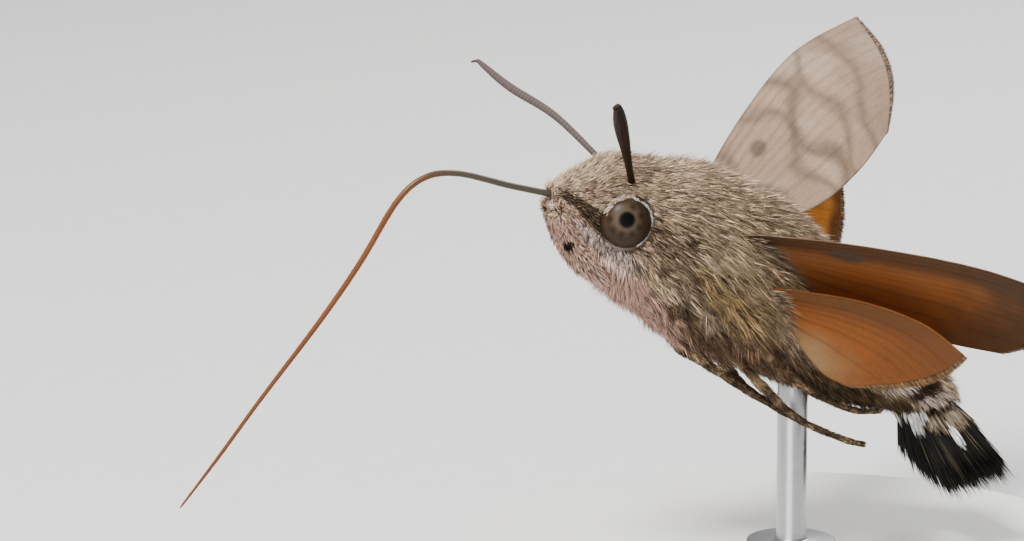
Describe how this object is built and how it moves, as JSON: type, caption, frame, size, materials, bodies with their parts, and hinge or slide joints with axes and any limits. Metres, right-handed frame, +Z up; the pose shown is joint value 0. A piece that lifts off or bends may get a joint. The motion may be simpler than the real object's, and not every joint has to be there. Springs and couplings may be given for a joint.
{
  "type": "hummingbird hawk moth model",
  "caption": "Life-size still model of a hovering hummingbird hawk moth with spread wings, long proboscis and tail fan, on a round display stand.",
  "frame": {"origin": "centre of the underside of the stand's base", "axes": "+Z up, the moth faces -Y with its nose up, and its left side is +X"},
  "size_m": [0.0388, 0.0483, 0.0278],
  "materials": {
    "fur": "dense olive-grey and tan fur, paler on the throat",
    "tail_scales": "long flat black scales with white tufts at the sides",
    "eye": "glossy grey-brown with soft dark spots",
    "horn": "satin dark brown horn",
    "forewing": "fine grey-brown wing scales with dark wavy bands",
    "hindwing": "fine orange wing scales with a dark outer edge",
    "leg": "brown scales mottled with tan",
    "stand": "satin off-white paint",
    "rod": "fine brushed steel"
  },
  "bodies": {
    "root": {"head": "fur", "thorax": "fur", "abdomen_base": "fur", "abdomen_middle": "fur", "abdomen_end": "fur", "tail_fan": "tail_scales", "palp_left": "fur", "palp_right": "fur", "eye_left": "eye", "eye_right": "eye", "antenna_left": "horn", "antenna_right": "horn", "proboscis_1": "horn", "proboscis_2": "horn", "proboscis_3": "horn", "proboscis_4": "horn", "forewing_left": "forewing", "forewing_right": "forewing", "hindwing_left": "hindwing", "hindwing_right": "hindwing", "foreleg_left": "leg", "foreleg_right": "leg", "midleg_left": "leg", "midleg_right": "leg", "hindleg_left": "leg", "hindleg_right": "leg", "stand_base": "stand", "stand_rod": "rod"}
  },
  "joints": []
}
